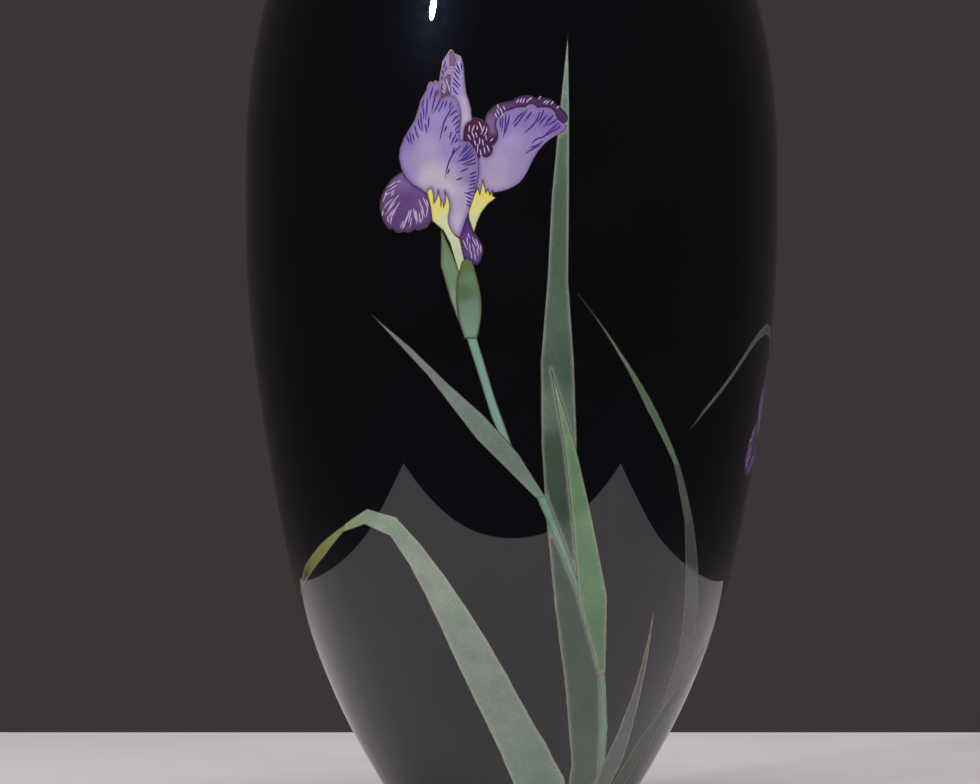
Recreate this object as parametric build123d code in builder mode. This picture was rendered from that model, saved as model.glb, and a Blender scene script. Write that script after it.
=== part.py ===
from build123d import *

import os
from math import ceil, cos, hypot, radians, sin

# A cloisonne vase: a thin copper body with glass enamel fused on it inside and out, and
# silver ribbon wires that stand in the outer enamel and part one colour from the next.
# The outer enamel is ground flush, so colours, wires and black ground share one surface.
# Millimetres, +Z up.  The origin is the centre of the circle that the foot rests on, and
# the main flower faces -Y.

os.makedirs("parts", exist_ok=True)

# ---- driving dimensions ----------------------------------------------------------------

FOOT_HEIGHT = 7.0          # silver foot ring below the enamel
BODY_TOP = 358.5           # where enamel and copper end, under the mouth rim
RIM_TOP = 362.0            # top of the silver mouth rim
SEAM_HEIGHT = 205.0        # brazed joint between the two spun copper halves, at the widest
GLAZE = 1.2                # outer enamel
COPPER = 1.0               # copper sheet
COUNTER_GLAZE = 0.6        # enamel on the inside and under the base
BASE_HEIGHT = 11.0         # underside of the copper base disc
WIRE = 0.22                # thickness of the silver ribbon
BEAD = 0.75 * WIRE         # radius of the solder bead where two ribbons meet
SLIVER = 0.1               # leftovers below this area, mm2, are ground away
REACH = 100.0              # how far a drawing is projected: more than any radius

FRONT = 0.0                # azimuths of the drawing planes, degrees to the right of -Y
ARCH = -35.0
RIGHT = 60.0
SIDE = 102.0
SIDE_DROP = -75.0          # the side flower stands this much lower than the front one
PROBES = 60                # places where the turning of a ribbon is measured
BEND_ANGLE = 14.0          # a ribbon is bent in straight steps of at most this turn, degrees
BEND_LENGTH = 25.0         # and at most this long
BEAD_SIDES = 8
CRUMB = 0.05               # solids below this volume, mm3, are ground away

# Outside of the finished enamel as (radius, height), foot to lip.
WALL_POINTS = [
    (33.5, FOOT_HEIGHT),
    (41.3, 20.0),
    (49.1, 33.4),
    (58.4, 52.6),
    (67.0, 75.5),
    (74.0, 105.0),
    (80.2, 141.0),
    (83.9, 173.2),
    (85.0, SEAM_HEIGHT),
    (84.1, 236.5),
    (80.2, 262.3),
    (72.5, 287.0),
    (60.0, 311.0),
    (44.0, 330.0),
    (31.5, 341.5),
    (29.0, 348.0),
    (31.0, 353.5),
    (35.0, BODY_TOP),
]

# ---- drawings ------------------------------------------------------------------------------
# Each motif is a closed chain of strokes on a vertical plane through the vase's axis, as
# (across, height).  Two points are a straight stroke, more are one smooth curve, and the
# ends of strokes are the motif's corners.  Within a group, earlier motifs cover later ones.

FLOWER = {
    "spathe_right": [
        [(-15.3, 183.6), (-14.1, 184.7), (-12.6, 184.2), (-11.6, 181.8), (-10.5, 177.6),
         (-9.5, 171.5), (-9.9, 164.6), (-10.8, 160.7)],
        [(-10.8, 160.7), (-14.6, 160.7)],
        [(-14.6, 160.7), (-15.9, 164.7), (-16.9, 172.5), (-16.5, 179.5), (-15.3, 183.6)],
    ],
    "beard_left": [
        [(-25.8, 204.6), (-25.1, 205.6), (-23.8, 201.2)],
        [(-23.8, 201.2), (-23.0, 202.4), (-22.4, 204.8)],
        [(-22.4, 204.8), (-21.9, 203.0), (-21.6, 200.2)],
        [(-21.6, 200.2), (-21.3, 202.2), (-20.8, 200.0)],
        [(-20.8, 200.0), (-20.2, 202.2), (-20.4, 204.7)],
        [(-20.4, 204.7), (-19.5, 203.0), (-19.0, 199.2)],
        [(-19.0, 199.2), (-19.5, 196.2), (-18.9, 193.8), (-16.0, 190.5)],
        [(-16.0, 190.5), (-15.1, 187.0), (-14.6, 184.0)],
        [(-14.6, 184.0), (-16.2, 180.5)],
        [(-16.2, 180.5), (-17.7, 185.4), (-20.4, 192.5), (-24.2, 196.0)],
        [(-24.2, 196.0), (-24.5, 198.6), (-25.0, 202.0), (-25.8, 204.6)],
    ],
    "standard_front": [
        [(-26.2, 235.0), (-25.5, 237.0), (-24.8, 238.0), (-24.1, 237.5)],
        [(-24.1, 237.5), (-23.2, 238.2), (-22.2, 237.6), (-21.9, 235.4), (-21.5, 232.4)],
        [(-21.5, 232.4), (-20.3, 233.3), (-18.8, 233.8), (-17.3, 233.0), (-16.2, 230.8),
         (-15.7, 227.5), (-15.9, 223.8), (-16.0, 220.2)],
        [(-16.0, 220.2), (-14.0, 220.4), (-12.0, 218.4), (-10.5, 215.4), (-10.1, 211.5),
         (-11.2, 205.0), (-13.0, 199.5), (-14.4, 195.5), (-16.0, 190.8)],
        [(-16.0, 190.8), (-18.5, 192.5), (-21.5, 197.5), (-25.0, 203.5)],
        [(-25.0, 203.5), (-27.5, 205.5), (-31.1, 207.8), (-33.6, 212.1), (-34.3, 216.0),
         (-33.6, 219.2), (-31.7, 223.0), (-29.5, 226.4), (-28.3, 230.4), (-26.2, 235.0)],
    ],
    "petal_centre": [
        [(-14.9, 220.3), (-14.8, 222.6), (-14.1, 224.9), (-12.5, 226.0)],
        [(-12.5, 226.0), (-11.5, 227.0), (-10.1, 226.6), (-8.5, 225.7), (-7.5, 223.8),
         (-7.3, 221.7), (-7.5, 219.9)],
        [(-7.5, 219.9), (-6.3, 218.3), (-6.2, 216.7), (-8.0, 215.0), (-9.4, 216.0)],
        [(-9.4, 216.0), (-10.2, 214.5)],
        [(-10.2, 214.5), (-11.5, 213.5), (-13.5, 217.0), (-15.2, 219.0)],
        [(-15.2, 219.0), (-14.9, 220.3)],
    ],
    "beard_right": [
        [(-12.6, 201.9), (-11.5, 203.8), (-10.5, 205.8)],
        [(-10.5, 205.8), (-9.9, 203.7)],
        [(-9.9, 203.7), (-9.4, 205.5), (-9.0, 208.0)],
        [(-9.0, 208.0), (-8.4, 205.8), (-8.1, 204.2)],
        [(-8.1, 204.2), (-7.5, 205.4)],
        [(-7.5, 205.4), (-6.9, 203.6)],
        [(-6.9, 203.6), (-6.1, 205.0)],
        [(-6.1, 205.0), (-6.1, 203.4)],
        [(-6.1, 203.4), (-5.1, 202.8)],
        [(-5.1, 202.8), (-6.9, 201.5), (-8.4, 200.0), (-9.9, 197.6), (-11.7, 192.3)],
        [(-11.7, 192.3), (-12.7, 194.7), (-13.4, 198.0), (-13.6, 201.0)],
        [(-13.6, 201.0), (-12.6, 201.9)],
    ],
    "petal_tip": [
        [(-13.0, 198.5), (-15.5, 194.5), (-16.7, 190.0), (-15.5, 184.0)],
        [(-15.5, 184.0), (-12.9, 183.8)],
        [(-12.9, 183.8), (-11.9, 183.1), (-10.8, 182.7), (-9.8, 183.9), (-9.0, 186.2),
         (-9.2, 188.6), (-11.2, 191.8), (-12.2, 195.0), (-13.0, 198.5)],
    ],
    "petal_right_margin": [
        [(-8.4, 225.6), (-7.8, 228.0), (-6.3, 229.8), (-4.0, 231.1), (-0.6, 231.9)],
        [(-0.6, 231.9), (0.9, 232.7), (2.8, 233.4), (4.9, 233.6), (6.9, 232.7)],
        [(6.9, 232.7), (9.5, 233.0), (11.5, 232.5), (12.7, 231.3)],
        [(12.7, 231.3), (14.4, 229.9), (16.0, 228.1), (16.4, 226.3), (15.1, 225.4)],
        [(15.1, 225.4), (13.9, 226.2), (13.0, 227.7)],
        [(13.0, 227.7), (11.5, 229.7), (9.7, 230.1), (7.5, 229.9)],
        [(7.5, 229.9), (6.0, 231.0), (3.6, 230.1)],
        [(3.6, 230.1), (1.3, 230.0), (-0.9, 229.2)],
        [(-0.9, 229.2), (-3.0, 228.3), (-4.6, 226.6), (-5.1, 224.0)],
        [(-5.1, 224.0), (-4.5, 222.2), (-4.7, 220.5), (-5.7, 218.7)],
        [(-5.7, 218.7), (-8.2, 218.3)],
        [(-8.2, 218.3), (-8.4, 225.6)],
    ],
    "petal_right": [
        [(15.1, 225.4), (16.2, 224.9), (16.0, 223.7), (13.5, 221.8), (9.9, 219.3),
         (6.3, 214.7), (3.6, 209.3), (1.6, 207.0), (-0.8, 205.6), (-3.2, 204.8),
         (-6.5, 204.3)],
        [(-6.5, 204.3), (-11.5, 203.0)],
        [(-11.5, 203.0), (-12.2, 210.0), (-11.5, 216.0)],
        [(-11.5, 216.0), (-7.2, 217.5), (-6.2, 223.5), (-2.8, 229.4), (4.0, 231.7),
         (10.0, 231.4), (13.6, 229.0), (15.1, 225.4)],
    ],
    "standard_rear_fold": [
        [(-19.5, 246.6), (-19.0, 244.6), (-18.9, 242.6), (-19.4, 240.3), (-21.0, 238.4),
         (-21.8, 236.0), (-21.6, 233.2)],
        [(-21.6, 233.2), (-21.0, 231.5)],
        [(-21.0, 231.5), (-18.7, 232.5)],
        [(-18.7, 232.5), (-18.9, 237.6), (-18.3, 241.6), (-17.0, 244.0), (-17.7, 246.4)],
        [(-17.7, 246.4), (-18.6, 247.5), (-19.5, 246.6)],
    ],
    "standard_rear": [
        [(-22.3, 236.0), (-21.9, 239.5), (-21.4, 242.2), (-20.8, 244.9), (-19.5, 246.6)],
        [(-19.5, 246.6), (-18.6, 246.0)],
        [(-18.6, 246.0), (-17.7, 246.4)],
        [(-17.7, 246.4), (-16.2, 246.1), (-15.1, 243.8), (-14.7, 240.4), (-14.4, 236.8),
         (-13.9, 233.8), (-12.9, 231.0), (-12.4, 228.0), (-12.2, 225.0)],
        [(-12.2, 225.0), (-13.5, 222.0), (-14.5, 219.3)],
        [(-14.5, 219.3), (-17.5, 219.5)],
        [(-17.5, 219.5), (-20.0, 228.0), (-22.3, 236.0)],
    ],
    "fall_left": [
        [(-33.1, 210.9), (-35.3, 209.7), (-37.2, 208.0), (-38.7, 205.7), (-39.8, 203.2),
         (-40.1, 200.1), (-39.6, 197.4), (-38.6, 195.2), (-37.4, 193.7)],
        [(-37.4, 193.7), (-36.2, 193.9)],
        [(-36.2, 193.9), (-35.0, 192.8), (-34.0, 192.6), (-32.8, 193.1)],
        [(-32.8, 193.1), (-31.6, 192.7), (-30.4, 193.1), (-29.6, 193.9)],
        [(-29.6, 193.9), (-28.6, 193.3), (-27.5, 193.6)],
        [(-27.5, 193.6), (-26.1, 194.0), (-25.2, 195.0), (-24.3, 197.0), (-24.0, 200.0),
         (-25.0, 204.5)],
        [(-25.0, 204.5), (-28.5, 208.5), (-33.1, 210.9)],
    ],
    "spathe_left": [
        [(-21.5, 193.2), (-20.3, 190.2), (-18.8, 187.3), (-17.2, 184.0), (-15.6, 179.0),
         (-15.0, 172.0), (-14.8, 164.0)],
        [(-14.8, 164.0), (-15.0, 162.2)],
        [(-15.0, 162.2), (-16.3, 165.3), (-18.3, 171.0), (-20.1, 176.7), (-21.5, 181.8),
         (-21.8, 187.2), (-21.5, 193.2)],
    ],
}

STEM = {
    "stem_upper": [
        [(-14.2, 161.8), (-13.5, 158.6), (-12.0, 154.7), (-9.0, 145.1), (-6.6, 137.6),
         (-3.0, 128.5), (-1.0, 125.0)],
        [(-1.0, 125.0), (1.2, 124.0)],
        [(1.2, 124.0), (-0.4, 127.5), (-3.9, 138.5), (-6.6, 145.7), (-9.9, 156.5),
         (-11.2, 161.8)],
        [(-11.2, 161.8), (-14.2, 161.8)],
    ],
}

FRONT_LEAVES = {
    "leaf_narrow": [
        [(-42.6, 167.8), (-37.7, 163.9), (-31.3, 158.3), (-21.7, 149.1), (-14.1, 141.8),
         (-8.7, 137.3), (-3.9, 131.4), (3.1, 124.4), (6.4, 120.6), (8.2, 116.8),
         (9.6, 113.0)],
        [(9.6, 113.0), (7.0, 112.6)],
        [(7.0, 112.6), (-1.7, 121.6), (-9.9, 129.4), (-18.3, 138.5), (-25.9, 150.0),
         (-34.1, 159.4), (-42.6, 167.8)],
    ],
    "leaf_middle": [
        [(11.5, 151.3), (13.0, 145.1), (14.9, 133.3), (17.7, 111.8), (18.9, 96.5),
         (20.3, 81.1), (22.2, 70.3), (24.1, 63.6), (26.6, 58.2)],
        [(26.6, 58.2), (28.5, 58.4)],
        [(28.5, 58.4), (29.7, 63.5), (29.9, 70.7), (28.9, 81.0), (26.3, 94.9),
         (21.8, 116.3), (17.3, 134.5), (14.6, 143.9), (11.5, 151.3)],
    ],
}

FRONT_STEMS = {
    "stem_middle": [
        [(6.9, 113.4), (10.4, 104.8), (15.3, 95.0), (19.6, 84.9), (20.8, 80.5)],
        [(20.8, 80.5), (21.8, 81.5)],
        [(21.8, 81.5), (19.9, 87.4), (17.4, 94.1), (13.1, 104.2), (9.9, 113.6)],
        [(9.9, 113.6), (6.9, 113.4)],
    ],
    "stem_lower": [
        [(26.7, 59.5), (26.9, 49.6), (27.3, 41.9), (27.3, 26.0), (21.3, 5.0)],
        [(21.3, 5.0), (22.6, 5.0)],
        [(22.6, 5.0), (28.9, 26.0), (29.4, 41.8), (29.1, 49.6), (28.3, 59.5)],
        [(28.3, 59.5), (26.7, 59.5)],
    ],
    "leaf_tall": [
        [(16.6, 252.8), (15.4, 247.0), (14.6, 236.8), (13.2, 219.6), (11.2, 197.1),
         (10.2, 175.2), (8.7, 158.6), (8.3, 142.0), (8.8, 127.0), (10.4, 104.2),
         (12.3, 85.2), (14.1, 70.0), (16.1, 56.0), (17.3, 42.0), (18.7, 22.0),
         (15.6, 5.0)],
        [(15.6, 5.0), (21.9, 5.0)],
        [(21.9, 5.0), (28.0, 27.0), (28.3, 40.0), (27.9, 51.0), (25.6, 62.0),
         (23.0, 75.0), (20.6, 93.4), (19.3, 112.0), (19.3, 127.0), (18.8, 149.6),
         (17.2, 163.5), (16.7, 184.0), (16.9, 207.0), (17.0, 230.0), (17.1, 246.0),
         (16.6, 252.8)],
    ],
}

ARCH_LEAVES = {
    "leaf_arch": [
        [(-11.8, 103.9), (-5.7, 107.5), (-0.4, 109.0), (3.3, 109.0), (7.1, 107.3),
         (11.1, 103.4), (16.8, 96.5), (22.3, 87.6), (27.4, 77.2), (31.0, 67.3),
         (34.0, 55.2), (36.1, 41.8), (37.2, 32.0), (36.0, 21.0), (28.6, 5.0)],
        [(28.6, 5.0), (19.6, 5.0)],
        [(19.6, 5.0), (25.2, 23.0), (25.2, 33.0), (23.6, 46.0), (19.7, 65.3),
         (15.5, 81.0), (11.6, 90.5), (8.5, 97.0), (5.3, 100.9), (1.4, 103.1),
         (-3.4, 104.1), (-8.8, 103.5), (-13.0, 101.5)],
        [(-13.0, 101.5), (-11.8, 103.9)],
    ],
    "leaf_arch_tip": [
        [(-46.4, 80.0), (-43.2, 84.3), (-36.6, 90.0), (-28.6, 95.2), (-18.3, 100.7),
         (-11.7, 103.8)],
        [(-11.7, 103.8), (-10.0, 104.0)],
        [(-10.0, 104.0), (-12.9, 101.6)],
        [(-12.9, 101.6), (-17.4, 98.3), (-25.3, 92.7), (-33.0, 88.2), (-40.5, 82.9),
         (-46.4, 80.0)],
    ],
}

RIGHT_LEAVES = {
    "leaf_bent_upper": [
        [(-60.9, 173.9), (-57.3, 167.8), (-53.5, 161.5), (-46.1, 151.0), (-39.8, 140.3),
         (-32.9, 131.0), (-26.7, 122.5)],
        [(-26.7, 122.5), (-24.2, 121.8)],
        [(-24.2, 121.8), (-31.9, 132.9), (-37.0, 140.2), (-42.4, 147.5), (-47.0, 153.9),
         (-52.3, 160.5), (-56.8, 167.8), (-60.9, 173.9)],
    ],
    "leaf_small": [
        [(-23.0, 77.0), (-21.8, 67.7), (-20.3, 58.3), (-19.2, 47.2), (-18.7, 37.0),
         (-17.6, 27.0), (-11.6, 5.0)],
        [(-11.6, 5.0), (-8.3, 5.0)],
        [(-8.3, 5.0), (-10.0, 27.0), (-11.7, 35.0), (-14.2, 44.0), (-18.2, 57.0),
         (-21.3, 69.0), (-23.0, 77.0)],
    ],
    "leaf_edge": [
        [(-7.3, 5.0), (-9.3, 22.0), (-7.8, 35.0), (-1.7, 46.0), (7.6, 56.0),
         (18.4, 66.0), (30.4, 74.5), (42.0, 79.8), (52.3, 82.0)],
        [(52.3, 82.0), (42.8, 76.3), (31.7, 69.0), (19.7, 60.0), (9.1, 50.5),
         (2.4, 41.0), (-0.9, 31.0), (-2.0, 21.0), (-1.6, 5.0)],
        [(-1.6, 5.0), (-7.3, 5.0)],
    ],
    "leaf_bent_lower": [
        [(-26.9, 122.9), (-21.3, 112.6), (-17.8, 103.9), (-14.5, 93.6), (-9.5, 77.8),
         (-5.3, 64.5), (-3.1, 55.2), (-2.2, 43.5)],
        [(-2.2, 43.5), (1.0, 44.5)],
        [(1.0, 44.5), (2.6, 53.0), (3.5, 61.8), (2.9, 69.8), (-1.2, 78.6),
         (-6.7, 89.3), (-12.9, 101.9), (-18.2, 112.3), (-24.4, 122.2)],
        [(-24.4, 122.2), (-26.9, 122.9)],
    ],
    "leaf_thin": [
        [(-22.2, 133.2), (-18.5, 138.1), (-14.1, 142.3), (-7.9, 147.9), (-1.2, 153.8),
         (6.1, 159.8), (15.7, 165.0), (25.4, 166.0), (33.0, 160.0)],
        [(33.0, 160.0), (32.0, 156.0)],
        [(32.0, 156.0), (24.3, 162.5), (15.6, 161.8), (7.4, 158.4), (2.0, 154.4),
         (-4.0, 149.3), (-10.8, 143.6), (-16.5, 138.6), (-22.2, 133.2)],
    ],
}

SIDE_LEAVES = {
    "leaf_side_short": [
        [(-22.0, 108.0), (-17.5, 92.0), (-13.5, 76.0), (-10.8, 58.0), (-9.2, 40.0),
         (-8.0, 22.0), (-6.5, 5.0)],
        [(-6.5, 5.0), (-2.5, 5.0)],
        [(-2.5, 5.0), (-3.0, 22.0), (-3.8, 40.0), (-6.2, 58.0), (-10.2, 76.0),
         (-16.0, 94.0), (-22.0, 108.0)],
    ],
    "stem_side": [
        [(-2.8, 53.5), (-1.2, 47.0), (-0.2, 36.0), (0.0, 22.0), (-0.6, 5.0)],
        [(-0.6, 5.0), (1.2, 5.0)],
        [(1.2, 5.0), (2.2, 22.0), (2.0, 36.0), (1.2, 46.0), (-0.4, 53.5)],
        [(-0.4, 53.5), (-2.8, 53.5)],
    ],
    "leaf_side_tall": [
        [(24.0, 196.0), (19.5, 180.0), (14.5, 150.0), (10.0, 118.0), (6.8, 88.0),
         (4.6, 60.0), (3.2, 34.0), (1.2, 5.0)],
        [(1.2, 5.0), (10.5, 5.0)],
        [(10.5, 5.0), (13.2, 34.0), (14.6, 60.0), (16.0, 88.0), (18.2, 118.0),
         (21.0, 150.0), (23.4, 180.0), (24.0, 196.0)],
    ],
}


def lowered(drawing, name_end, drop):
    """The same drawing again, moved down, its motifs named for their place."""
    return {
        name + name_end: [[(x, z + drop) for x, z in stroke] for stroke in strokes]
        for name, strokes in drawing.items()
    }


# ---- the wall ------------------------------------------------------------------------------

def wall_curve(depth):
    """Points of the wall's curve moved inward by depth, square to the surface."""
    moved = []
    last = len(WALL_POINTS) - 1
    for index, (radius, height) in enumerate(WALL_POINTS):
        before = WALL_POINTS[max(index - 1, 0)]
        after = WALL_POINTS[min(index + 1, last)]
        step_r = after[0] - before[0]
        step_z = after[1] - before[1]
        step = hypot(step_r, step_z)
        if index in (0, last):
            moved.append((radius - depth * step / step_z, height))
        else:
            moved.append((radius - depth * step_z / step, height + depth * step_r / step))
    return moved


def wall_shell(outer_depth, inner_depth):
    """One layer of the wall, from the foot ring to the mouth rim."""
    outer = wall_curve(outer_depth)
    inner = wall_curve(inner_depth)
    with BuildPart() as shell:
        with BuildSketch(Plane.XZ):
            with BuildLine():
                Spline(*outer)
                Line(outer[-1], inner[-1])
                Spline(*inner)
                Line(inner[0], outer[0])
            make_face()
        revolve(axis=Axis.Z)
    return shell.part


def wall_core(depth, floor):
    """Everything inside one curve of the wall and above the floor, as a solid."""
    curve = wall_curve(depth)
    bottom = (0, curve[0][1])
    top = (0, curve[-1][1])
    with BuildPart() as core:
        with BuildSketch(Plane.XZ):
            with BuildLine():
                Spline(*curve)
                Polyline(curve[-1], top, bottom, curve[0])
            make_face()
        revolve(axis=Axis.Z)
        with BuildSketch(Plane.XY.offset(floor)):
            Circle(REACH)
        extrude(amount=-REACH, mode=Mode.SUBTRACT)
    return core.part


def save(part, name):
    part.label = name
    export_step(part, "parts/" + name + ".step")


copper_face = GLAZE
copper_back = copper_face + COPPER
inside_face = copper_back + COUNTER_GLAZE
base_top = BASE_HEIGHT + COPPER
enamel_layer = wall_shell(0, copper_face)
copper_layer = wall_shell(copper_face, copper_back)

# ---- copper body ---------------------------------------------------------------------------

with BuildPart() as copper_lower_body:
    add(copper_layer)
    with BuildSketch(Plane.XY.offset(SEAM_HEIGHT)):
        Circle(REACH)
    extrude(amount=RIM_TOP, mode=Mode.SUBTRACT)
save(copper_lower_body.part, "copper_lower_body")

with BuildPart() as copper_upper_body:
    add(copper_layer)
    with BuildSketch(Plane.XY.offset(SEAM_HEIGHT)):
        Circle(REACH)
    extrude(amount=-RIM_TOP, mode=Mode.SUBTRACT)
save(copper_upper_body.part, "copper_upper_body")

space_above_base = wall_core(copper_back, BASE_HEIGHT)
with BuildPart() as copper_base_disc:
    add(space_above_base)
    with BuildSketch(Plane.XY.offset(base_top)):
        Circle(REACH)
    extrude(amount=RIM_TOP, mode=Mode.SUBTRACT)
save(copper_base_disc.part, "copper_base_disc")

# ---- enamel inside and underneath ----------------------------------------------------------

space_in_copper = wall_core(copper_back, base_top)
hollow = wall_core(inside_face, base_top + COUNTER_GLAZE)
with BuildPart() as interior_enamel:
    add(space_in_copper)
    add(hollow, mode=Mode.SUBTRACT)
save(interior_enamel.part, "interior_enamel")

space_above_base_enamel = wall_core(copper_back, BASE_HEIGHT - COUNTER_GLAZE)
with BuildPart() as base_enamel:
    add(space_above_base_enamel)
    with BuildSketch(Plane.XY.offset(BASE_HEIGHT)):
        Circle(REACH)
    extrude(amount=RIM_TOP, mode=Mode.SUBTRACT)
save(base_enamel.part, "base_enamel")

# ---- silver foot ring and mouth rim --------------------------------------------------------

FOOT_OUTER = 34.6
FOOT_INNER = 29.4
RIM_OUTER = 36.2
RIM_INNER = 30.6
RING_ROUND = 1.2           # edge rounding of the two rings

with BuildPart() as foot_ring:
    with BuildSketch(Plane.XY):
        Circle(FOOT_OUTER)
        Circle(FOOT_INNER, mode=Mode.SUBTRACT)
    extrude(amount=FOOT_HEIGHT)
    outer_edges = foot_ring.edges().filter_by(GeomType.CIRCLE).sort_by(SortBy.RADIUS)[-2:]
    fillet(outer_edges, RING_ROUND)
save(foot_ring.part, "foot_ring")

with BuildPart() as mouth_rim:
    with BuildSketch(Plane.XY.offset(BODY_TOP)):
        Circle(RIM_OUTER)
        Circle(RIM_INNER, mode=Mode.SUBTRACT)
    extrude(amount=RIM_TOP - BODY_TOP)
    fillet(mouth_rim.edges().filter_by(GeomType.CIRCLE), RING_ROUND)
save(mouth_rim.part, "mouth_rim")


# ---- enamel cells and their wires ----------------------------------------------------------

def drawing_plane(azimuth):
    """The vertical plane through the axis that faces the azimuth."""
    turn = radians(azimuth)
    return Plane(
        origin=(0, 0, 0),
        x_dir=(cos(turn), sin(turn), 0),
        z_dir=(sin(turn), -cos(turn), 0),
    )


def bends(stroke):
    """Points along a bent ribbon and its direction at each, closer where it turns more."""
    with BuildLine() as path:
        if len(stroke) == 2:
            Line(*stroke)
        else:
            Spline(*stroke)
    curve = path.edge()
    probes = [curve.tangent_at(step / PROBES) for step in range(PROBES + 1)]
    turned = sum(before.get_angle(after) for before, after in zip(probes, probes[1:]))
    pieces = max(1, ceil(turned / BEND_ANGLE), ceil(curve.length / BEND_LENGTH))
    places = [curve.position_at(step / pieces) for step in range(pieces + 1)]
    headings = [curve.tangent_at(step / pieces) for step in range(pieces + 1)]
    return places, headings


def outlined(strokes):
    """The flat area that a chain of strokes encloses."""
    corners = []
    for stroke in strokes:
        places, _ = bends(stroke)
        corners += [(place.X, place.Y) for place in places[:-1]]
    with BuildSketch() as shape:
        with BuildLine():
            Polyline(*corners, close=True)
        make_face()
    return shape.sketch


def ribbon_of(stroke):
    """The flat area of the ribbon along one stroke, with a bead of solder at its start."""
    places, headings = bends(stroke)
    half = WIRE / 2
    left = [(p.X - h.Y * half, p.Y + h.X * half) for p, h in zip(places, headings)]
    right = [(p.X + h.Y * half, p.Y - h.X * half) for p, h in zip(places, headings)]
    with BuildSketch() as ribbon:
        with BuildLine():
            Polyline(*left, *reversed(right), close=True)
        make_face()
        with Locations(stroke[0]):
            RegularPolygon(BEAD, BEAD_SIDES)
    return ribbon.sketch


def joined(areas):
    with BuildSketch() as whole:
        for area in areas:
            add(area)
    return whole.sketch


def uncovered(area, covers):
    """What is left of an area beside its covers, without slivers."""
    with BuildSketch() as rest:
        add(area)
        for cover in covers:
            add(cover, mode=Mode.SUBTRACT)
    return [face for face in rest.faces() if face.area > SLIVER]


def projected(area, azimuth):
    """The area carried outward from the axis, toward the azimuth."""
    with BuildPart() as prism:
        with BuildSketch(drawing_plane(azimuth)):
            add(area)
        extrude(amount=REACH)
    return prism.part


def inlay(area, azimuth, in_front):
    """The stretch of the enamel layer under an area, less what lies in front of it."""
    prism = projected(area, azimuth)
    with BuildPart() as piece:
        add(enamel_layer)
        add(prism, mode=Mode.INTERSECT, clean=False)
        for cover in in_front:
            add(cover, mode=Mode.SUBTRACT, clean=False)
    return [solid for solid in piece.solids() if solid.volume > CRUMB]


def lay_group(azimuth, drawing, crossings, in_front, wires_name):
    """Make the cells and wires of one drawing, and return the area of them all."""
    covers = []
    ribbons = []
    for name, strokes in drawing.items():
        crossed = in_front if name in crossings else []
        shape = outlined(strokes)
        border = joined([ribbon_of(stroke) for stroke in strokes])
        cells = []
        for face in uncovered(shape, [border] + covers):
            cells += inlay(face, azimuth, crossed)
        save(Compound(children=cells), name)
        for face in uncovered(border, covers):
            ribbons += inlay(face, azimuth, crossed)
        covers.append(joined([shape, border]))
    save(Compound(children=ribbons), wires_name)
    return joined(covers)


front_drawing = {**FLOWER, **FRONT_LEAVES, **STEM, **FRONT_STEMS}
side_drawing = lowered({**FLOWER, **STEM}, "_side", SIDE_DROP)

side_area = lay_group(SIDE, side_drawing, [], [], "wires_flower_side")
side_prism = projected(side_area, SIDE)
right_area = lay_group(
    RIGHT, RIGHT_LEAVES, ["leaf_thin"], [side_prism], "wires_leaves_right"
)
right_prism = projected(right_area, RIGHT)
front_area = lay_group(
    FRONT, front_drawing, ["stem_lower", "leaf_tall"], [right_prism], "wires_front"
)
arch_area = lay_group(ARCH, ARCH_LEAVES, [], [], "wires_leaf_arch")
plant_area = lay_group(
    SIDE, SIDE_LEAVES, list(SIDE_LEAVES), [side_prism, right_prism], "wires_leaves_side"
)

# ---- black ground --------------------------------------------------------------------------

front_prism = projected(front_area, FRONT)
arch_prism = projected(arch_area, ARCH)
plant_prism = projected(plant_area, SIDE)
with BuildPart() as ground_enamel:
    add(enamel_layer)
    for prism in (front_prism, arch_prism, side_prism, right_prism, plant_prism):
        add(prism, mode=Mode.SUBTRACT, clean=False)
ground = [solid for solid in ground_enamel.solids() if solid.volume > CRUMB]
save(Compound(children=ground), "ground_enamel")
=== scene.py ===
import math

import bmesh
import bpy
import numpy as np
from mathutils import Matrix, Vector


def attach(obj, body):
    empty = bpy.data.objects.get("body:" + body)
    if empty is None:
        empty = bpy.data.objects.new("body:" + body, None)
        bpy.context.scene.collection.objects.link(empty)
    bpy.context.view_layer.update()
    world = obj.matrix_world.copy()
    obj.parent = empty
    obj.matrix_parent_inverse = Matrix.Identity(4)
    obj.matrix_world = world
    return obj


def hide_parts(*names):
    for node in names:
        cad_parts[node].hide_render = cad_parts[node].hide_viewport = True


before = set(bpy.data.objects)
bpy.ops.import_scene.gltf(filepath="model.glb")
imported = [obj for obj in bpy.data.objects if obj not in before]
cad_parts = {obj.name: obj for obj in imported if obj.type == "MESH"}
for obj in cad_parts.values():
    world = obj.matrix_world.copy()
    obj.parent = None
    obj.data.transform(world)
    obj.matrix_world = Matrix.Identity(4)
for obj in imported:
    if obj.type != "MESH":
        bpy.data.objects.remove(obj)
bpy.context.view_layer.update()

MM = 0.001

# ---- the wall ------------------------------------------------------------------------------
# Outside of the finished enamel as (radius, height) in millimetres, foot to lip.
FOOT_TOP = 7.0
BODY_TOP = 358.5
GLAZE = 1.2                # thickness of the outer enamel
WALL_STEPS = 3000
RING_STRIDE = 12           # every so many steps of the wall is a ring of the ground
GROUND_SEGMENTS = 480
WALL_POINTS = [
    (33.5, FOOT_TOP), (41.3, 20.0), (49.1, 33.4), (58.4, 52.6), (67.0, 75.5), (74.0, 105.0),
    (80.2, 141.0), (83.9, 173.2), (85.0, 205.0), (84.1, 236.5), (80.2, 262.3),
    (72.5, 287.0), (60.0, 311.0), (44.0, 330.0), (31.5, 341.5), (29.0, 348.0),
    (31.0, 353.5), (35.0, BODY_TOP),
]


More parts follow.
